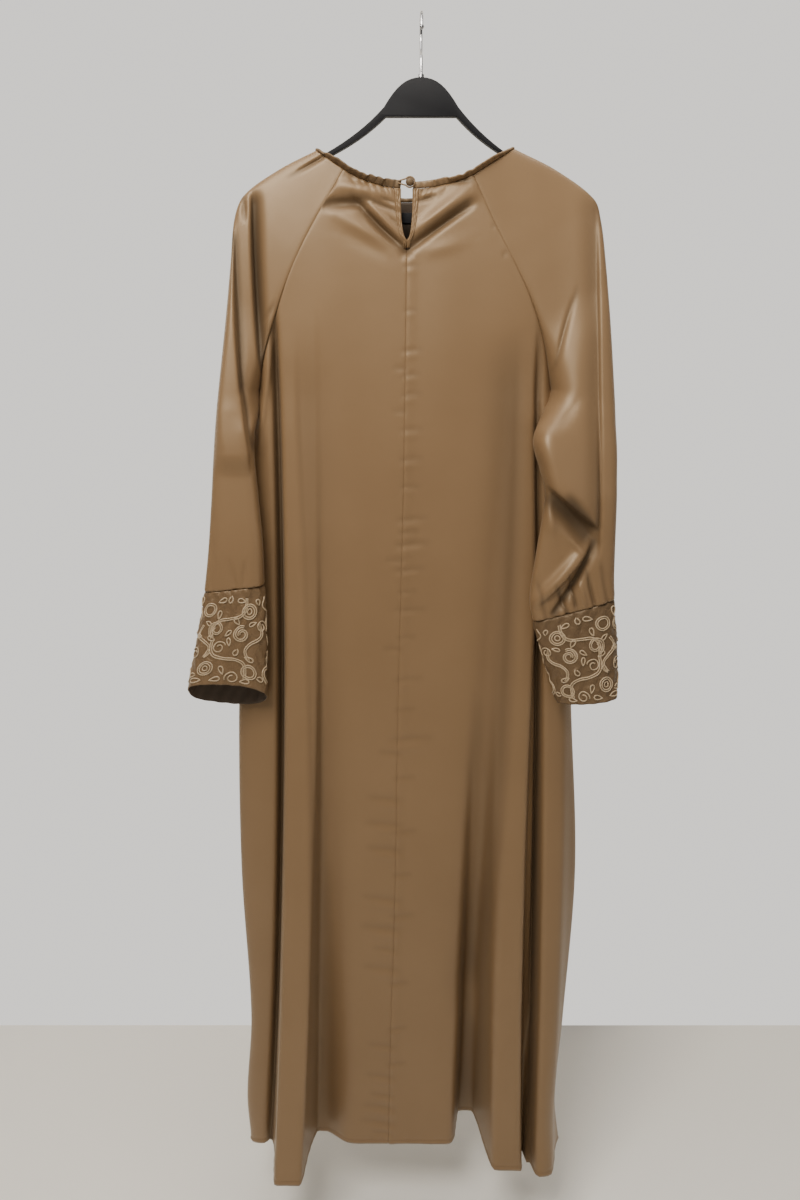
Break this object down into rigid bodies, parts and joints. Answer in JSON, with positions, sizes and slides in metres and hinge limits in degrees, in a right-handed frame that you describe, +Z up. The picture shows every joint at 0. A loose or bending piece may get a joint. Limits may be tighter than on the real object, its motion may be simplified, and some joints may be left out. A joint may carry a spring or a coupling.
{
  "type": "abaya on a clothes hanger",
  "caption": "Long satin abaya with raglan sleeves, embroidered flared cuffs and a keyhole neck with button and loop, hanging on a plastic clothes hanger with a wire hook.",
  "frame": {"origin": "inside top of the hook, where the hanger rests on its rail", "axes": "+Z up, along the garment's length; +X along the hanger, to the viewer's right; the side with the keyhole neck faces -Y"},
  "size_m": [0.5622, 0.1889, 1.5553],
  "materials": {
    "satin": "bronze satin with a soft sheen",
    "embroidery": "couched cord and thread, a shade lighter than the cloth",
    "hanger_plastic": "black, slightly rough",
    "hook_steel": "plated wire"
  },
  "bodies": {
    "root": {"back_panel_left": "satin", "back_panel_right": "satin", "front_panel": "satin", "sleeve_left": "satin", "sleeve_right": "satin", "cuff_left": "satin", "cuff_right": "satin", "neck_binding": "satin", "keyhole_binding_left": "satin", "keyhole_binding_right": "satin", "button": "satin", "button_loop": "satin", "cuff_left_cord_1": "embroidery", "cuff_left_cord_2": "embroidery", "cuff_left_cord_3": "embroidery", "cuff_left_cord_4": "embroidery", "cuff_left_cord_5": "embroidery", "cuff_left_cord_6": "embroidery", "cuff_left_cord_7": "embroidery", "cuff_left_cord_8": "embroidery", "cuff_right_cord_1": "embroidery", "cuff_right_cord_2": "embroidery", "cuff_right_cord_3": "embroidery", "cuff_right_cord_4": "embroidery", "cuff_right_cord_5": "embroidery", "cuff_right_cord_6": "embroidery", "cuff_right_cord_7": "embroidery", "cuff_right_cord_8": "embroidery", "hanger_frame": "hanger_plastic", "hook": "hook_steel"}
  },
  "joints": []
}
